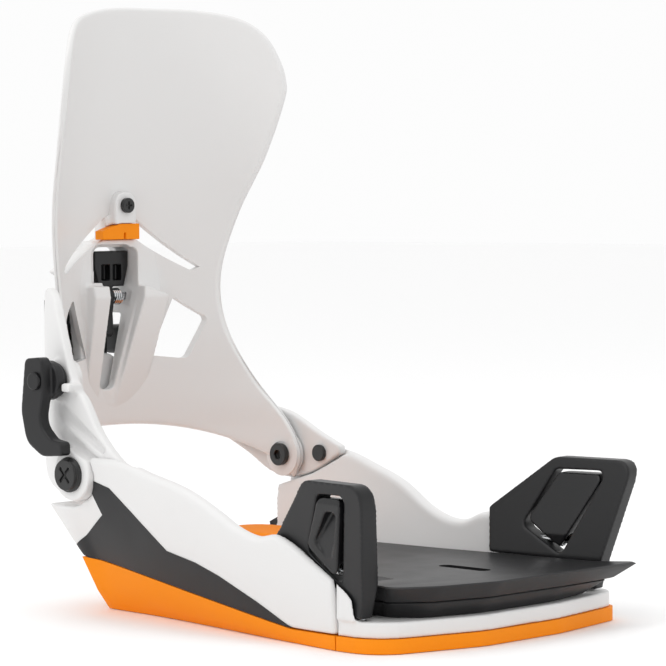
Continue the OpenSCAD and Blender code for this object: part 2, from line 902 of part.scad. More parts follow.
module receiver_screw() {
    color(black)
        difference() {
            union() {
                translate([-156, mid_y, 185])
                    rotate([0, 90, 0])
                        cylinder(r = 1.95, h = 14.6);
                translate([-141.5, mid_y, 185])
                    rotate([0, 90, 0])
                        cylinder(r = 3.6, h = 2.2);
            }
            for (a = [0, 90])
                translate([-139.3, mid_y, 185])
                    rotate([a, 0, 0])
                        cube([2, 4, 0.9], center = true);
        }
}

lean_y = 13.5;

module lean_adjuster() {
    color(dark)
        translate([0, lean_y, 0])
            difference() {
                front_prism(rounded([[-8.5, 113, 2], [8.5, 113, 2], [8.5, 127, 2], [-8.5, 127, 2]]), -167, -157);
                front_prism(rounded([[-2.1, 115.4, 2], [2.1, 115.4, 2], [2.1, 125, 2], [-2.1, 125, 2]]),
                    -170, -150);
            }
}

module lean_screw() {
    color(steel)
        union() {
            translate([-167.6, lean_y, 122.6])
                rotate([0, 90, 0])
                    cylinder(r = 1.9, h = 15.4);
            translate([-169.6, lean_y, 122.6])
                rotate([0, 90, 0])
                    cylinder(r = 3.4, h = 2.2);
        }
}

// ---------- heel catch ----------

module heel_catch() {
    color(black)
        difference() {
            union() {
                translate([0, mid_y, 0])
                    front_prism([[-catch_w / 2, 163], [catch_w / 2, 163], [catch_w / 2, 156],
                        [8, 146], [-8, 146], [-catch_w / 2, 156]], -162.5, -152.5);
                rod_y(catch_x, catch_z, 4.5, mid_y - 4, mid_y + 1.2);
                side_prism([[-160, 141], [-160, 147], [-153.5, 147], [-151.6, 141], [-153, 133],
                    [-152.4, 123], [-154.6, 121.2], [-158, 121.4], [-157.4, 131]], mid_y - 4, mid_y + 1.2);
            }
            rod_y(catch_x, catch_z, 1.8 + fit, mid_y - 20, mid_y + 20);
            for (y = [-6.4, 0.9])
                translate([-156.5, mid_y + y, 149])
                    cube([8, 5.5, 7.5]);
        }
}

module catch_pin() {
    color(steel)
        union() {
            rod_y(catch_x, catch_z, 1.8, mid_y - cheek_y - 3.4, mid_y + cheek_y + 3.4);
            for (y = [mid_y - cheek_y - 3.4, mid_y + cheek_y + 0.2])
                rod_y(catch_x, catch_z, 2, y, y + 3.2);
        }
}

spring_turns = 4;
spring_pitch = 1.25;
spring_steps = 14;
spring_r = 3.6;
wire_r = 0.55;

module catch_spring() {
    color(steel)
        loft([for (i = [0:spring_turns * spring_steps]) let(a = 360 * i / spring_steps) [
            for (b = [300:-60:0]) [
                catch_x + (spring_r + wire_r * cos(b)) * cos(a),
                mid_y + 2.2 + spring_pitch * i / spring_steps + wire_r * sin(b),
                catch_z + (spring_r + wire_r * cos(b)) * sin(a)
            ]
        ]]);
}

// ---------- release lever ----------

lever_profile = [
    [-119.5, 116, 3], [-107.5, 117, 3], [-107, 100, 12], [-110, 87, 8], [-102, 80, 8],
    [-94.5, 79, 2], [-94, 73, 2], [-108, 72, 8], [-119, 78, 10], [-122.5, 92, 12]
];

module release_lever() {
    color(dark)
        difference() {
            union() {
                side_prism(rounded(lever_profile), -85, -79.4);
                rod_y(lever_x, lever_z, 9, -79.5, -75);
                rod_y(lever_x, lever_z, 8, -75.1, -72.6);
            }
            rod_y(lever_x, lever_z, 3.02, -90, -60);
        }
}

module lever_shaft() {
    color(steel)
        rod_y(lever_x, lever_z, 3, -84, -63.2);
}

module lever_cap() {
    color(black)
        union() {
            rod_y(lever_x, lever_z, 2.9, -85.1, -84.1);
            rod_y(lever_x, lever_z, 4, -86.6, -85.1);
        }
}

module lever_spring() {
    color(steel)
        translate([lever_x, -63.3, lever_z])
            rotate([90, 0, 0])
                ring_spring(4.1, 0.5, 1.05, 1);
}

// Part of an ellipse round the highback, seen from above.
function ellipse_arc(w, d, a0, a1, step) = [
    for (a = [a0:step:a1]) [pivot_x - d * cos(a), mid_y + w * sin(a)]
];

// Curved band of the housing between two angles, behind the highback.
module housing_band(a0, a1, z0, z1) {
    plate(concat(ellipse_arc(70.5, 67.5, a0, a1, 4), ellipse_arc(66.4, 63.4, a1, a0, -4)), z0, z1);
}

module release_housing() {
    color(dark)
        difference() {
            union() {
                housing_band(-41, 3, 113, 131);
                housing_band(-41, -17, 113, 141);
            }
            translate([-180, mid_y - 1.4, 125])
                rotate([0, 90, 0]) {
                    cylinder(r = 2.5 + fit, h = 40);
                    cylinder(r = 3.9, h = 17.6);
                }
        }
}

// Cable that runs inside the housing's wall.
module release_cable() {
    color(steel)
        loft([for (a = [-40:4:-8]) let(
            c = [pivot_x - 65.5 * cos(a), mid_y + 68.5 * sin(a)],
            n = unit([-cos(a) * 68.5, sin(a) * 65.5])
        ) [for (b = [315:-45:0])
            [c.x + n.x * 0.8 * cos(b), c.y + n.y * 0.8 * cos(b), 120 + 0.8 * sin(b)]]]);
}

module release_plunger() {
    color(steel)
        translate([-167.6, mid_y - 1.4, 125])
            rotate([0, 90, 0])
                union() {
                    cylinder(r = 2.5, h = 8.8);
                    translate([0, 0, -1.6])
                        cylinder(r = 3.6, h = 1.6);
                }
}

chassis();
toe_section();
heel_hoop();
base_pad_rear();
base_pad_front();
lateral_panel();
medial_panel();
mounting_disc();
footbed_base();
toe_ramp();
heel_pad();
ramp_screw();
ramp_nut();
lateral_toe_hook();
medial_toe_hook();
lateral_toe_latch();
medial_toe_latch();
lateral_latch_pin();
medial_latch_pin();
lateral_latch_spring();
medial_latch_spring();
hook_screws();
lateral_pivot_screw();
medial_pivot_bolt();
pivot_nuts();
hoop_screws();
highback_shell();
heel_receiver();
receiver_marker();
receiver_screw();
lean_adjuster();
lean_screw();
heel_catch();
catch_pin();
catch_spring();
release_lever();
lever_shaft();
lever_cap();
lever_spring();
release_housing();
release_plunger();
release_cable();
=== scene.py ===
"""Visual model of a strapless step-in snowboard binding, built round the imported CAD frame.

Shapes are written in millimetres in the CAD's own frame: X to the toe, Y to the
inner side of the foot, Z up, with the origin under the mounting disc.
"""
import json
import math

import bmesh
import bpy
from mathutils import Matrix, Vector


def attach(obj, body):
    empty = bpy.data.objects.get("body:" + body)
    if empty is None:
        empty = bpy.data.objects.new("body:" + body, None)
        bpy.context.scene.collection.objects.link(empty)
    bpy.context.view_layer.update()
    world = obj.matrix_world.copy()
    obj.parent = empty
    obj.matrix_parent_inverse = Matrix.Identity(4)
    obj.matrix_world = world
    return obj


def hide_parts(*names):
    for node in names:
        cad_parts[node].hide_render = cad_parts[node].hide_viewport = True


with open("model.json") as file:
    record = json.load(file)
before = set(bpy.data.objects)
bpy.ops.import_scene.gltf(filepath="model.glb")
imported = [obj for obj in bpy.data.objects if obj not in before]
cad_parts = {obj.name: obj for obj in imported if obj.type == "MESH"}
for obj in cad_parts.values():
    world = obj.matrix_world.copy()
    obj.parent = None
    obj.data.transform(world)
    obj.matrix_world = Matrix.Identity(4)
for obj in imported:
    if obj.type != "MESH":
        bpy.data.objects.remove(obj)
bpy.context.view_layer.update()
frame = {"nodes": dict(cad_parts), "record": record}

MM = 0.001
MID_Y = -3.0                # middle plane of the highback and the hoop
PIVOT = (-97.0, 64.0)       # X and Z of the highback's pivots
LEVER = (-112.0, 106.0)     # X and Z of the release lever's hub
SPLIT_X = 61.0              # joint between the chassis and the toe section
PIVOT_R = 3.55              # bores for the highback's pivots


# ---------- camera, lights and floor ----------

def make_camera():
    """Camera at the photograph's angle, looking slightly down on the binding."""
    azimuth, elevation, roll = (math.radians(a) for a in (44.26, 2.72, -0.36))
    back = Vector((math.sin(azimuth) * math.cos(elevation),
                   -math.cos(azimuth) * math.cos(elevation), math.sin(elevation)))
    right = Vector((math.cos(azimuth), math.sin(azimuth), 0))
    up = back.cross(right)
    turned = right * math.cos(roll) + up * math.sin(roll)
    up = up * math.cos(roll) - right * math.sin(roll)
    data = bpy.data.cameras.new("camera")
    data.lens = 152.6
    data.sensor_width = 36
    data.clip_start = 0.05
    camera = bpy.data.objects.new("camera", data)
    camera.matrix_world = Matrix.Translation((0.8740, -0.9036, 0.1875)) @ Matrix(
        (turned, up, back)).transposed().to_4x4()
    bpy.context.collection.objects.link(camera)
    bpy.context.scene.camera = camera


def area_light(name, place, target, size, power):
    data = bpy.data.lights.new(name, "AREA")
    data.shape = "RECTANGLE"
    data.size, data.size_y = size
    data.energy = power
    light = bpy.data.objects.new(name, data)
    light.location = place
    light.rotation_euler = (Vector(target) - Vector(place)).to_track_quat("-Z", "Y").to_euler()
    bpy.context.collection.objects.link(light)


def make_studio():
    world = bpy.data.worlds.new("studio")
    world.use_nodes = True
    background = world.node_tree.nodes["Background"]
    background.inputs["Color"].default_value = (1.0, 1.0, 1.0, 1)
    background.inputs["Strength"].default_value = 0.98
    bpy.context.scene.world = world
    bpy.context.scene.view_settings.view_transform = "Standard"
    area_light("overhead", (0.0, -0.2, 1.4), (-0.02, 0, 0.1), (1.2, 1.0), 4.0)
    area_light("key", (-0.2, -1.3, 0.9), (-0.02, 0, 0.08), (0.5, 0.5), 2.4)
    mesh = bpy.data.meshes.new("floor")
    mesh.from_pydata([(-8, -8, 0), (8, -8, 0), (8, 8, 0), (-8, 8, 0)], [], [(0, 1, 2, 3)])
    floor = bpy.data.objects.new("floor", mesh)
    floor.location.z = -0.0003
    bpy.context.collection.objects.link(floor)
    floor.data.materials.append(plain_material("floor_paper", (0.98, 0.98, 0.98), 0.9))


# ---------- materials ----------

def plain_material(name, colour, roughness):
    material = bpy.data.materials.new(name)
    material.use_nodes = True
    shader = material.node_tree.nodes["Principled BSDF"]
    shader.inputs["Base Color"].default_value = (*colour, 1)
    shader.inputs["Roughness"].default_value = roughness
    return material


def moulded_material(name, colour, shade, roughness, grain_mm, grain_depth, metallic, specular):
    """Moulded surface: slow colour drift, patchy gloss and a fine grain in the relief."""
    material = plain_material(name, colour, roughness)
    nodes, links = material.node_tree.nodes, material.node_tree.links
    shader = nodes["Principled BSDF"]
    shader.inputs["Metallic"].default_value = metallic
    shader.inputs["Specular IOR Level"].default_value = specular
    place = nodes.new("ShaderNodeTexCoord").outputs["Object"]

    def noise(scale, detail):
        node = nodes.new("ShaderNodeTexNoise")
        node.inputs["Scale"].default_value = scale
        node.inputs["Detail"].default_value = detail
        links.new(place, node.inputs["Vector"])
        return node.outputs["Fac"]

    drift = nodes.new("ShaderNodeMix")
    drift.data_type = "RGBA"
    drift.inputs["A"].default_value = (*colour, 1)
    drift.inputs["B"].default_value = (*[c * shade for c in colour], 1)
    links.new(noise(9, 3), drift.inputs["Factor"])
    links.new(drift.outputs["Result"], shader.inputs["Base Color"])
    gloss = nodes.new("ShaderNodeMapRange")
    gloss.inputs["To Min"].default_value = roughness - 0.07
    gloss.inputs["To Max"].default_value = roughness + 0.07
    links.new(noise(60, 4), gloss.inputs["Value"])
    links.new(gloss.outputs["Result"], shader.inputs["Roughness"])
    bump = nodes.new("ShaderNodeBump")
    bump.inputs["Strength"].default_value = 0.5
    bump.inputs["Distance"].default_value = grain_depth * MM
    links.new(noise(1 / (grain_mm * MM), 2), bump.inputs["Height"])
    links.new(bump.outputs["Normal"], shader.inputs["Normal"])
    return material


# slot: colour, shade of the drift, roughness, grain size and depth in mm, metallic, specular
FINISHES = {
    "white_shell": ((0.745, 0.74, 0.735), 0.985, 0.4, 0.35, 0.012, 0.0, 0.5),
    "orange_pad": ((0.93, 0.27, 0.001), 0.95, 0.55, 0.6, 0.03, 0.0, 0.2),
    "orange_rubber": ((0.93, 0.26, 0.001), 0.92, 0.7, 0.9, 0.06, 0.0, 0.2),
    "dark_plastic": ((0.012, 0.012, 0.013), 0.85, 0.4, 0.3, 0.02, 0.0, 0.35),
    "black_plastic": ((0.006, 0.006, 0.007), 0.8, 0.3, 0.35, 0.01, 0.0, 0.4),
    "black_steel": ((0.012, 0.012, 0.012), 0.7, 0.3, 0.5, 0.01, 0.0, 0.5),
    "bright_steel": ((0.6, 0.61, 0.62), 0.9, 0.25, 0.6, 0.01, 1.0, 0.5),
}
MATERIALS = {name: moulded_material(name, *finish) for name, finish in FINISHES.items()}
SLOT_OF = {s["node"]: s["material_slot"] for s in frame["record"]["subparts"]}
BODY_OF = {n: b for b, nodes in frame["record"]["behaviour"]["bodies"].items() for n in nodes}


# ---------- mesh helpers ----------

def curve(table, x):
    """Smooth curve through rows of (position, value)."""
    def slope(i):
        a, b = table[max(i - 1, 0)], table[min(i + 1, len(table) - 1)]
        return (b[1] - a[1]) / (b[0] - a[0])
    i = 0
    while i < len(table) - 2 and x > table[i + 1][0]:
        i += 1
    (x0, y0), (x1, y1) = table[i], table[i + 1]
    h = x1 - x0
    s = max(0.0, min(1.0, (x - x0) / h))
    return (y0 * (2 * s**3 - 3 * s**2 + 1) + h * slope(i) * (s**3 - 2 * s**2 + s)
            + y1 * (3 * s**2 - 2 * s**3) + h * slope(i + 1) * (s**3 - s**2))


def spread(a, b, n):
    return [a + (b - a) * i / (n - 1) for i in range(n)]


def rounded(points, n=6):
    """Closed outline through (a, b, radius) corners, each with its arc."""
    outline = []
    for i, (x, y, r) in enumerate(points):
        here = Vector((x, y))
        if r <= 0:
            outline.append((x, y))
            continue
        u = (Vector(points[i - 1][:2]) - here).normalized()
        v = (Vector(points[(i + 1) % len(points)][:2]) - here).normalized()
        half = u.angle(v) / 2
        centre = here + (u + v).normalized() * r / math.sin(half)
        p, q = here + u * r / math.tan(half) - centre, here + v * r / math.tan(half) - centre
        for k in range(n + 1):
            d = p.slerp(q, k / n) if p.angle(q) > 1e-4 else p
            outline.append(tuple(centre + d.normalized() * r))
    return outline


def solid(name, points, faces):
    """Closed object from points in millimetres, with its faces turned outwards."""
    mesh = bpy.data.meshes.new(name)
    mesh.from_pydata([tuple(c * MM for c in p) for p in points], [], faces)
    shape = bmesh.new()
    shape.from_mesh(mesh)
    bmesh.ops.triangulate(shape, faces=[f for f in shape.faces if len(f.verts) > 4])
    bmesh.ops.recalc_face_normals(shape, faces=shape.faces)
    shape.to_mesh(mesh)
    shape.free()
    obj = bpy.data.objects.new(name, mesh)
    bpy.context.collection.objects.link(obj)
    return obj


def loft(name, rings, bent=False):
    """Solid through rings of equal length; bent ends are closed with cross strips."""
    n, last = len(rings[0]), (len(rings) - 1) * len(rings[0])
    faces = [(i * n + j, i * n + (j + 1) % n, (i + 1) * n + (j + 1) % n, (i + 1) * n + j)
             for i in range(len(rings) - 1) for j in range(n)]
    for start in (0, last):
        if bent:
            faces += [(start + j, start + j + 1, start + n - 2 - j, start + n - 1 - j)
                      for j in range(n // 2 - 1)]
        else:
            faces.append(tuple(range(start, start + n)))
    return solid(name, [p for ring in rings for p in ring], faces)


def prism(name, outline, along, low, high):
    """Outline in the two other axes, in XYZ order, drawn out along one axis."""
    def at(p, t):
        return {"x": (t, *p), "y": (p[0], t, p[1]), "z": (*p, t)}[along]
    return loft(name, [[at(p, low) for p in outline], [at(p, high) for p in outline]])


def rod(name, along, centre, radius, low, high, sides=48):
    """Round bar along x, y or z; centre is its place in the two other axes."""
    turns = [2 * math.pi * i / sides for i in range(sides)]
    return prism(name, [(centre[0] + radius * math.cos(a), centre[1] + radius * math.sin(a)) for a in turns],
                 along, low, high)


def apply_modifiers(obj):
    graph = bpy.context.evaluated_depsgraph_get()
    mesh = bpy.data.meshes.new_from_object(obj.evaluated_get(graph))
    obj.modifiers.clear()
    obj.data = mesh
    return obj


def combine(obj, others, operation):
    for other in others:
        step = obj.modifiers.new("combine", "BOOLEAN")
        step.operation = operation
        step.solver = "EXACT"
        step.object = other
        apply_modifiers(obj)
        bpy.data.objects.remove(other)
    return obj


def cut(obj, *others):
    return combine(obj, others, "DIFFERENCE")


def kept(obj, *others):
    return combine(obj, others, "INTERSECT")


def fused(obj, *others):
    """Puts the shells into one mesh; melt() then merges them where they overlap."""
    shape = bmesh.new()
    for part in (obj, *others):
        shape.from_mesh(part.data)
    shape.to_mesh(obj.data)
    shape.free()
    for other in others:
        bpy.data.objects.remove(other)
    return obj


def melt(obj, voxel, rounds):
    """Rounds every edge as a mould does: even voxels, then a little smoothing."""
    remesh = obj.modifiers.new("voxels", "REMESH")
    remesh.mode = "VOXEL"
    remesh.voxel_size = voxel * MM
    smooth = obj.modifiers.new("smooth", "SMOOTH")
    smooth.factor = 0.5
    smooth.iterations = rounds
    return apply_modifiers(obj)


def shade(obj, angle=None):
    for face in obj.data.polygons:
        face.use_smooth = True
    if angle is not None:
        obj.data.set_sharp_from_angle(angle=math.radians(angle))


def bevel(obj, width, angle, segments=3):
    edge = obj.modifiers.new("bevel", "BEVEL")
    edge.width = width * MM
    edge.segments = segments
    edge.limit_method = "ANGLE"
    edge.angle_limit = math.radians(angle)
    edge.harden_normals = False
    apply_modifiers(obj)
    shade(obj, 35)
    return obj


def finish_piece(obj, nodes):
    """Gives a piece the material and body of the CAD nodes that it stands for."""
    slot = SLOT_OF[nodes[0]]
    obj.data.materials.clear()
    obj.data.materials.append(MATERIALS[slot])
    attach(obj, BODY_OF[nodes[0]])
    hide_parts(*nodes)


def copy_of(node, name):
    """The CAD node's shape as a new closed object."""
    mesh = frame["nodes"][node].data.copy()
    shape = bmesh.new()
    shape.from_mesh(mesh)
    bmesh.ops.remove_doubles(shape, verts=shape.verts, dist=2e-6)
    shape.to_mesh(mesh)
    shape.free()
    obj = bpy.data.objects.new(name, mesh)
    bpy.context.collection.objects.link(obj)
    return obj


def moulded_copy(node, voxel, rounds):
    """A CAD node's shape with moulded edges, standing for that node."""
    piece = melt(copy_of(node, node + "_piece"), voxel, rounds)
    shade(piece)
    finish_piece(piece, [node])
    return piece


# ---------- highback ----------

HB_BACK = [(50, -150), (80, -151), (130, -151.5), (150, -150.5), (180, -147), (230, -140), (285, -131.5)]
HB_EDGE = [(50, -92), (64, -86), (80, -94), (100, -113.5), (125, -127), (150, -131.5),
           (180, -125.5), (210, -112.5), (245, -101), (285, -95)]
HB_HALF = [(50, 60), (64, 60), (80, 59), (100, 56), (125, 50), (150, 50), (180, 56.5),
           (210, 64), (245, 68), (285, 66)]
HB_CROWN = [(-1, -56), (-0.95, -38), (-0.87, -23), (-0.72, -11), (-0.5, -5), (-0.2, -1), (0.1, 0),
            (0.45, -0.5), (0.7, -4.5), (0.85, -13), (0.95, -27), (1, -39)]
HB_TOP = 279
SHELL = 3.5


def highback_point(s, z, depth):
    """Point on the shell: s runs from -1, the outer edge, to 1, the inner edge."""
    back, edge, half = curve(HB_BACK, z), curve(HB_EDGE, z), curve(HB_HALF, z)
    bend = min(math.pi / 2, 2 * math.atan((edge - back) / half))
    return (back - depth + (edge - back + depth) * (1 - math.cos(s * bend)) / (1 - math.cos(bend)),
            MID_Y + (half + depth) * math.sin(s * bend) / math.sin(bend), z)


def highback_column(s):
    """Cross-section of the shell at s: a thin strip with rounded top and bottom rims."""
    low, high = 79 - 26 * abs(s)**2.4, HB_TOP + curve(HB_CROWN, s)
    middle = SHELL / 2
    half = middle * math.sqrt(max(0.03, 1 - max(0, (abs(s) - 0.985) / 0.015)**2))
    arc = spread(0, math.pi, 9)
    inner = [highback_point(s, z, middle - half) for z in spread(low + half, high - half, 90)]
    top = [highback_point(s, high - half + half * math.sin(a), middle - half * math.cos(a))
           for a in arc[1:-1]]
    outer = [highback_point(s, z, middle + half) for z in spread(high - half, low + half, 90)]
    bottom = [highback_point(s, low + half - half * math.sin(a), middle + half * math.cos(a))
              for a in arc[1:-1]]
    return inner + top + outer + bottom


def highback_solid():
    places = [-math.cos(math.pi * i / 120) for i in range(121)]
    return loft("highback_shell_piece", [highback_column(s) for s in places], bent=True)


RECEIVER = [(-22, 84), (15.5, 84), (24, 148), (34.8, 153.9), (5.4, 170), (5.4, 180), (-11.4, 180),
            (-11.4, 170), (-40.8, 153.9), (-30, 148)]
SLAB_SIDE = [(-156, 84), (-151.4, 84), (-150.4, 100), (-146.2, 143), (-146.2, 181), (-156, 181)]
POST_SIDE = [(-156, 86), (-151.6, 86), (-140, 141), (-141, 146.5), (-156, 146.5)]
CAVITY = [(-13.8, 96.6, 4), (-3.8, 96.6, 4), (8.6, 146, 0), (8.6, 165, 4), (-14.1, 165, 4), (-14.1, 146, 0)]
RECESS = [(-21, 148, 1), (5.6, 148, 1), (5.6, 166.2, 5), (-21, 166.2, 5)]
SLIT = [(6.2, 179.5), (40.5, 154.8), (37.2, 152.8), (4.8, 170.2)]
WINDOW = rounded([(29, 140.5, 1), (42.5, 130, 3), (34, 110, 3), (17.5, 112, 1)])


def on_side(outline, side):
    """The outline as drawn for the inner side, or mirrored about the highback's middle."""
    return [(y if side > 0 else 2 * MID_Y - y, z) for y, z in outline]


def make_highback():
    """Curved shell with its openings and the raised round ears at the pivots."""
    shell = highback_solid()
    openings = [prism("opening", on_side(outline, side), "x", -180, -108)
                for outline in (SLIT, WINDOW) for side in (1, -1)]
    openings.append(prism("catch_way", rounded(CAVITY), "x", -190, -120))
    openings.append(prism("recess_way", rounded(RECESS), "x", -152.8, -120))
    openings.append(rod("pivot_way", "y", PIVOT, PIVOT_R, -100, 100))
    openings.append(rod("bolt_seat", "y", PIVOT, 6.2, 40, 56.5))
    cut(shell, *openings)
    fused(shell, ear("inner_ear", 56.6, 60.9), ear("outer_ear", -66.9, -62.2))
    shade(shell, 32)
    finish_piece(shell, ["highback_shell"])


def ear(name, y0, y1):
    """Raised round boss with a bore, on the shell's pivot ear."""
    boss = bevel(rod(name, "y", PIVOT, 10.5, y0, y1, 72), 0.7, 40)
    return cut(boss, rod("ear_bore", "y", PIVOT, PIVOT_R, -100, 100))


def make_receiver():
    """The moulding round the heel catch: slab, two posts, recess, cleat slot and screw boss."""
    slab = kept(prism("receiver", RECEIVER, "x", -155.4, -146.2), prism("slab_side", SLAB_SIDE, "y", -60, 60))
    posts = kept(prism("posts", [(-24.5, 150), (-14, 150), (-13.8, 90), (-3, 90), (8.6, 146.5), (23.5, 142),
                                 (14.5, 86), (-21.5, 86)], "x", -170, -120),
                 prism("post_side", POST_SIDE, "y", -60, 60))
    boss = prism("boss", rounded([(-9.5, 176, 0), (3.8, 176, 0), (3.8, 191.5, 5.8), (-9.5, 191.5, 5.8)]),
                 "x", -153, -141.6)
    cheeks = prism("cheeks", [(-17.6, 133), (11.8, 133), (11.8, 168), (-17.6, 168)], "x", -167, -150)
    fused(slab, posts, boss, cheeks)
    melt(slab, 0.6, 0)
    cut(slab,
        prism("recess", rounded(RECESS), "x", -152.8, -120),
        prism("cavity", rounded(CAVITY), "x", -190, -120),
        prism("marker_seat", [(-17, 168.5), (6.5, 168.5), (6.5, 176.5), (-6, 176.5), (-17, 173)],
              "x", -148.2, -120),
        rod("pin_bore", "y", (-156, 141), 2, -23, 17), rod("screw_bore", "x", (MID_Y, 185), 2, -170, -120))
    melt(slab, 0.55, 4)
    shade(slab)
    finish_piece(slab, ["heel_receiver"])


# ---------- chassis ----------

WALL_TOP_Z = [
    [(-126, 62), (-118, 66), (-108, 69), (-92, 72), (-68, 72), (-50, 67.5), (-27, 62), (-8, 54),
     (5, 47.5), (17, 44.5), (27, 46), (37, 43), (47, 37.5), (61, 30)],
    [(-126, 60), (-118, 64), (-108, 67), (-92, 70), (-62, 67.5), (-43, 62), (-24, 55), (-8, 45),
     (4, 40.5), (14, 40), (24, 44), (34, 44), (47, 37.5), (61, 31)]]
WALL_TOP_Y = [
    [(-126, 71), (-118, 74), (-108, 75.8), (-68, 75.5), (17, 73), (61, 71)],
    [(-126, 67), (-118, 69.5), (-108, 70.5), (-24, 69.5), (14, 70.5), (61, 73)]]
WALL_FOOT_Z = [(-126, 52), (-118, 40), (-108, 25.6), (-98.6, 23.5)]
WALL_FOOT_Y = [
    [(-126, 69), (-118, 65.5), (-108, 61), (-98.6, 58.5), (-68, 60.5), (-27, 64), (17, 67.2), (61, 69.2)],
    [(-126, 65), (-118, 63), (-108, 60), (-98.6, 58.5), (-62, 61), (-24, 65), (14, 69.5), (61, 72.6)]]
WALL_T = 7
WEB_IN = 9.4
WEB_SIDE = [(-98.4, 6.4), (58, 6.4), (58, 8.5), (34, 8.5), (-98.4, 25.4)]
FRONT_GAP = 0.3             # half the gap at the joint in the sole pad
LAP_LINE = [[(-58, 64.4), (-82, 62), (-88, 60.6), (-97, 50.2), (-102, 48.6)],
            [(-58, 67.2), (-80, 55.6), (-102, 48.6)]]


def web_y(x):
    """Half width of the base's skirt, which widens towards the toe."""
    return 50 + (x + 108) * 0.113


def skirt_z(x):
    """Height of the joint between the walls and the sole pad, falling towards the toe."""
    return 6.3 + max(0, 35 - x) * 0.128


def foot_z(x):
    return curve(WALL_FOOT_Z, x) if x < -98.6 else skirt_z(x) + 0.2


def wall_outer(x, side, t):
    """Half width and height of a wall's outer face; t runs from 0, the foot, to 1."""
    z0, z1 = foot_z(x), curve(WALL_TOP_Z[side], x)
    y0, y1 = curve(WALL_FOOT_Y[side], x), curve(WALL_TOP_Y[side], x)
    return y0 + (y1 - y0) * (1 - (1 - t)**1.6), z0 + (z1 - z0) * t


def wall_ring(x, side, top=1.0):
    sign = 1 if side else -1
    y0, y1 = curve(WALL_FOOT_Y[side], x), curve(WALL_TOP_Y[side], x)
    z0, z1 = foot_z(x), curve(WALL_TOP_Z[side], x)
    flange = web_y(x) - WEB_IN - 4
    points = [wall_outer(x, side, t) for t in spread(0, (z1 - 3 - z0) / (z1 - z0), 10)]
    for a in spread(0, 180, 9):
        points.append((y1 - WALL_T / 2 + WALL_T / 2 * math.cos(math.radians(a)),
                       z1 - 3.2 + 3.2 * math.sin(math.radians(a))))
    points += [(y1 - WALL_T - (y1 - y0) * t, z1 - 4 + (z0 + 6 - z1 + 4) * t) for t in spread(0.1, 1, 8)]
    points += [(flange, z0 + 3), (flange, z0)]
    return [(x, sign * y, z) for y, z in points]


def sole(inset):
    e = inset
    return rounded([(-108 + e, -50 + e, 12), (60, -69 + e, 30), (84 - e, -68 + e, 20), (99 - e, -18, 40),
                    (100 - e, 30, 40), (92 - e, 83 - e, 10), (60, 73 - e, 30), (-108 + e, 50 - e, 12)], 10)


def make_chassis():
    """Floor, two side walls and the webs that join them, with room for what they carry."""
    floor = kept(prism("chassis", sole(9.2), "z", 6.3, 13),
                 prism("rear_part", [(-200, -120), (SPLIT_X - 0.4, -120), (SPLIT_X - 0.4, 120), (-200, 120)],
                       "z", 0, 60))
    walls = [loft("wall", [wall_ring(x, side) for x in spread(-126, SPLIT_X - 0.2, 76)]) for side in (0, 1)]
    webs = []
    for side in (-1, 1):
        ring = [(x, side * (web_y(x) - WEB_IN), z) for x, z in WEB_SIDE]
        inner = [(x, y - side * 5, z) for x, y, z in ring]
        webs.append(loft("web", [ring, inner]))
    fused(floor, *walls, *webs)
    melt(floor, 0.9, 0)
    cut(floor,
        rod("disc_room", "z", (0, 0), 50.4, 8.9, 60), rod("disc_hole", "z", (0, 0), 46.4, 0, 60),
        prism("medial_rear", [(-140, 10), (-95, 10), (-96.4, 31.6), (-99.8, 41), (-101.7, 50),
                              (-101.7, 95), (-140, 95)], "y", 20, 100),
        prism("lateral_rear", [(-140, 51), (-104, 51), (-104, 95), (-140, 95)], "y", -100, -20),
        prism("outer_lap", LAP_LINE[0] + [(-140, 48.6), (-140, 95), (-58, 95)], "y", -72.8, -50),
        prism("inner_lap", LAP_LINE[1] + [(-140, 48.6), (-140, 95), (-58, 95)], "y", 50, 66.8),
        rod("highback_room", "y", PIVOT, 16.8, -67.5, -50),
        rod("screw_head_room", "y", (-76, 65.5), 4.3, -68, -50),
        rod("pivot_room", "y", PIVOT, 12.3, -100, -60), rod("nut_room", "y", PIVOT, 8, 60, 100),
        hook_room(0), hook_room(1))
    melt(floor, 0.8, 4)
    shade(floor)
    finish_piece(floor, ["chassis"])


PANEL_SIDE = [(-90, 63), (-75, 59), (-43, 33), (-24, 29.5), (-9, 25), (14, 16), (34, 6.8), (10, 9),
              (-107, 24), (-110, 30), (-101, 35), (-84, 46)]


def make_panels():
    """Dark plates that follow the outer face of each wall and stand a little proud of it."""
    for side, node in enumerate(("lateral_panel", "medial_panel")):
        sign = 1 if side else -1
        rings = []
        for x in spread(-116, 40, 120):
            face = [wall_outer(x, side, t) for t in spread(0, 0.93, 16)]
            rings.append([(x, sign * (y - 0.6), z) for y, z in face]
                         + [(x, sign * (y + 0.25), z) for y, z in reversed(face)])
        plate = kept(loft(node + "_piece", rings), prism("panel_edge", PANEL_SIDE, "y", -120, 120))
        cut(plate, rod("pivot_gap", "y", PIVOT, 12.6, -100, 100))
        shade(plate, 30)
        finish_piece(plate, [node])


# ---------- toe hooks ----------

HOOK_TURN = math.radians(7.4)
HOOK_AT = ((77, -68, 20), (90, 74, 20))
HOOK_H = 51
HOOK_PROFILE = (
    [(-55, 24, 0), (-50, 28, 3), (-27, HOOK_H, 8), (10, HOOK_H, 6), (9, 40, 5), (-3, -6, 0),
     (-11, -6, 0), (-21, 8, 4), (-36, 20, 4), (-46, 23.5, 3)],
    [(-58, 7, 0), (-61, 27, 2), (-29, HOOK_H, 8), (11, HOOK_H, 6), (10, 42, 5), (-2, -6, 0),
     (-12, -6, 0), (-24, 6, 4)])


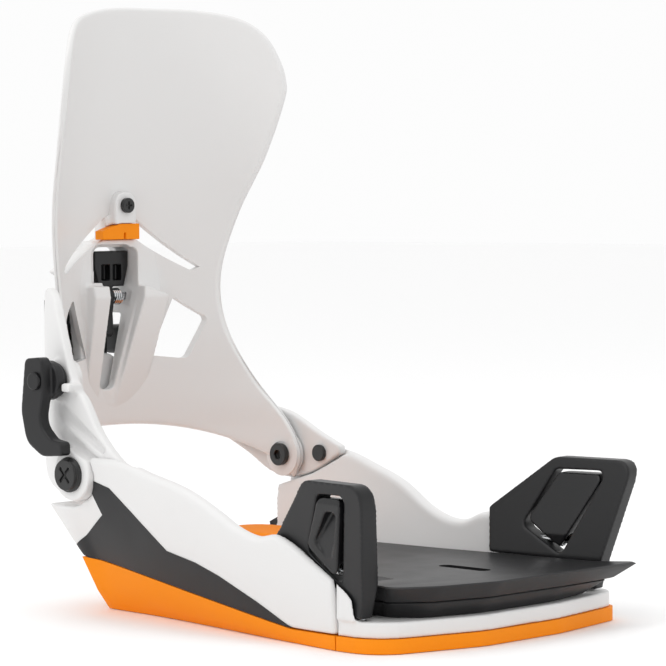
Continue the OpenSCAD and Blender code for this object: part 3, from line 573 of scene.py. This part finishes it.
def place_hook(obj, side):
    """Moves a piece drawn for the outer hook, front foot at the origin, to its place."""
    x, y, z = (c * MM for c in HOOK_AT[side])
    turn = Matrix.Rotation(-HOOK_TURN, 4, "Z")
    matrix = Matrix.Translation((x, -abs(y), z)) @ turn
    if side:
        matrix = Matrix.Scale(-1, 4, (0, 1, 0)) @ matrix
    obj.data.transform(matrix)
    if side:
        obj.data.flip_normals()
    return obj


def hook_room(side):
    """Pocket in the wall for the foot of a toe hook."""
    outline = rounded([(x + (1 if x > -5 else 0), z - (0.4 if z < 30 else 0), r)
                       for x, z, r in HOOK_PROFILE[side]])
    room = kept(prism("hook_room", outline, "y", -30, 20),
                prism("hook_front", [(-1.2, -6.5), (8.6, -6.5), (9, 8), (-2, 60), (-14, 60), (-0.8, 0)],
                      "x", -80, 20))
    return place_hook(room, side)


# ---------- heel hoop ----------

HOOP_TOP = [(-124, 68.5), (-116, 72), (-103, 84), (-94.5, 97), (-89, 102.5), (-85, 109), (-79, 125.5),
            (-72, 141.5), (-66, 146.5), (-58, 146), (-51, 134), (-44, 114.5), (-38, 113.5),
            (3, 113.5), (6, 111.4), (20, 108), (45, 98), (70, 89), (90, 84), (110, 75), (124, 69.5)]
HOOP_BOTTOM = [(-124, 65), (-112, 63.5), (-101, 62.5), (-90, 51.5), (-80, 53), (-60, 60), (-40, 74),
               (-20, 83), (0, 86), (20, 85), (45, 78), (65, 65), (78, 55), (90, 52.5), (105, 56), (124, 66)]


def hoop_xy(p, inset):
    """Place on the hoop: p is an angle, and past 90 each step is 1 mm forward."""
    a = math.radians(max(-90, min(90, p)))
    return (PIVOT[0] - (66 - inset) * math.cos(a) + max(0, abs(p) - 90), MID_Y + (69.5 - inset) * math.sin(a))


def make_hoop():
    """Hoop round the heel, with the pivot and lever bosses and two grooves."""
    rings = []
    for p in spread(-124, 124, 150):
        (xo, yo), (xi, yi) = hoop_xy(p, 0), hoop_xy(p, 4.5)
        low, high = curve(HOOP_BOTTOM, p), curve(HOOP_TOP, p)
        heights = spread(low, high, 12)
        rings.append([(xi, yi, z) for z in heights] + [(xo, yo, z) for z in reversed(heights)])
    hoop = loft("heel_hoop_piece", rings)
    fused(hoop,
          rod("pivot_boss", "y", PIVOT, 12, -77.5, -68), rod("hub_boss", "y", LEVER, 9.5, -71.6, -64),
          prism("stop", [(-102.6, 101), (-97, 101), (-97, 105), (-102.6, 105)], "y", -78, -69))
    melt(hoop, 0.8, 0)
    cut(hoop,
        prism("upper_groove", [(-116, 93), (-110, 88), (-80, 73.5), (-79, 76), (-100, 90), (-108, 96)],
              "y", -90, -70.4),
        prism("lower_groove", [(-114, 82), (-108, 79), (-84, 69.5), (-84, 71.5), (-108, 85)],
              "y", -90, -70.4),
        rod("pivot_bore", "y", PIVOT, PIVOT_R, -100, 100))
    melt(hoop, 0.7, 4)
    shade(hoop)
    finish_piece(hoop, ["heel_hoop"])


# ---------- sole pads, toe section and footbed ----------

PAD_FOOT_Y = [
    [(-102, 50.6), (-66, 52.2), (-27, 57), (17, 63.5), (61, 69)],
    [(-102, 50), (-66, 53), (-27, 58.5), (17, 65.5), (61, 72.6)]]


def pad_ring(x):
    """Slanting cross-section of the rear pad, with the crease along its outer side."""
    back = x - 6.5 * (SPLIT_X - x) / (SPLIT_X + 102)
    top = skirt_z(back) - 0.3
    share = 0.36             # height of the crease in the pad's side
    crease = 1.2 * min(1, max(0, (40 - x) / 30))
    ring = []
    for side, sign in ((0, -1), (1, 1)):
        y0, y1 = curve(PAD_FOOT_Y[side], x), curve(WALL_FOOT_Y[side], back)
        middle = y0 + (y1 - y0) * share + crease
        points = [(x, sign * y0, 0), (x + (back - x) * share, sign * middle, top * share),
                  (back, sign * y1, top)]
        ring += points if sign < 0 else points[::-1]
    return ring


def make_pads():
    """Foam pads under the base, behind and in front of the joint line."""
    rear = loft("base_pad_rear_piece", [pad_ring(x) for x in spread(-102, SPLIT_X - FRONT_GAP, 40)])
    cut(rear, prism("hollow", sole(9), "z", 6, 60), rod("disc", "z", (0, 0), 53, -1, 20))
    bevel(rear, 0.7, 35)
    finish_piece(rear, ["base_pad_rear"])
    front = kept(prism("base_pad_front_piece", sole(0), "z", 0, 6),
                 prism("front_part", [(SPLIT_X + FRONT_GAP, -120), (200, -120), (200, 120),
                                      (SPLIT_X + FRONT_GAP, 120)], "z", -1, 60))
    bevel(front, 0.8, 50)
    finish_piece(front, ["base_pad_front"])


SLOT = rounded([(50.6, 4.6, 3.2), (78.4, 4.6, 3.2), (78.4, 11.4, 3.2), (50.6, 11.4, 3.2)])


def footbed_ring(rear, half, inset, z):
    """Outline of the footbed at a height; inset draws the front and sides in."""
    e = inset
    outline = rounded([(rear, -half, 6), (30, -53, 10), (64, -56.5 + e * 0.3, 8), (78 - e, -58.5 + e, 4),
                       (84 - e, -61 + e, 7), (96 - e, -42, 14), (104 - e, -15, 30), (105.5 - e, 30, 40),
                       (108.5 - e * 1.9, 76 - e * 1.9, 2), (92 - e, 62 - e * 0.4, 4), (50, 58, 10),
                       (10, 54, 10), (rear, half, 6)], 5)
    return [(x, y, z) for x, y in outline]


def make_toe_ramp():
    """Top of the footbed, raked at the front, with a slot and a patch of fine ridges."""
    ramp = loft("toe_ramp_piece", [footbed_ring(-52, 51, e, z) for e, z in
                                   ((4.6, 20.4), (4.0, 20.8), (0.5, 26.0), (0, 26.8), (0.6, 27.4))])
    kept(ramp, prism("top_slope", [(-60, 20), (120, 20), (120, 28.4), (96, 27.5), (-60, 26.9)],
                     "y", -100, 100))
    ridges = []
    turn = Matrix.Rotation(math.radians(-12), 4, "Z")
    for i in range(24):
        x = 12 + i * 2.6
        groove = prism("groove", [(x, 26.45), (x + 0.8, 26.45), (x + 1.1, 30), (x - 0.3, 30)], "y", -62, -24)
        groove.data.transform(turn)
        ridges.append(groove)
    cut(ramp, prism("slot", SLOT, "z", 22.5, 60), *ridges)
    bevel(ramp, 0.25, 30, 2)
    shade(ramp, 15)
    finish_piece(ramp, ["toe_ramp"])


FLOOR_ROOM = [(-93.2, -36.9), (36, -51.5), (36, -90), (140, -90), (140, 90), (36, 90), (36, 51.5),
              (-93.2, 36.9)]


def make_footbed_base():
    """Lower layer of the footbed, narrower at the heel, between the base's webs."""
    base = loft("footbed_base_piece", [footbed_ring(-93, 37, e, z) for e, z in
                                       ((10.4, 13.1), (9.6, 13.6), (5.6, 19.4), (5.8, 20.0))])
    kept(base, prism("floor_room", FLOOR_ROOM, "z", 0, 60))
    finish_piece(bevel(base, 0.3, 30, 2), ["footbed_base"])


# ---------- pieces taken from their CAD solids ----------

# node: size of the voxels in mm, rounds of smoothing
MOULDED = {
    "toe_section": (0.7, 4),
    "heel_pad": (0.9, 6),
    "lateral_toe_hook": (0.55, 7), "medial_toe_hook": (0.55, 7),
    "lateral_toe_latch": (0.45, 4), "medial_toe_latch": (0.45, 4),
    "release_lever": (0.45, 6), "release_housing": (0.4, 2), "heel_catch": (0.35, 3),
    "receiver_marker": (0.3, 2), "lateral_pivot_screw": (0.25, 2), "medial_pivot_bolt": (0.25, 2),
    "receiver_screw": (0.2, 1), "ramp_screw": (0.25, 1), "hoop_screws": (0.3, 1),
    "lever_cap": (0.3, 2), "lean_adjuster": (0.5, 2),
}


def make_moulded_pieces():
    for node, (voxel, rounds) in MOULDED.items():
        piece = moulded_copy(node, voxel, rounds)


def dress_cad_nodes():
    """Every CAD node that stays gets the procedural material of its own slot."""
    for node, obj in frame["nodes"].items():
        for i in range(len(obj.material_slots)):
            obj.material_slots[i].material = MATERIALS[SLOT_OF[node]]


make_camera()
make_studio()
make_highback()
make_receiver()
make_chassis()
make_hoop()
make_panels()
make_pads()
make_toe_ramp()
make_footbed_base()
make_moulded_pieces()
dress_cad_nodes()
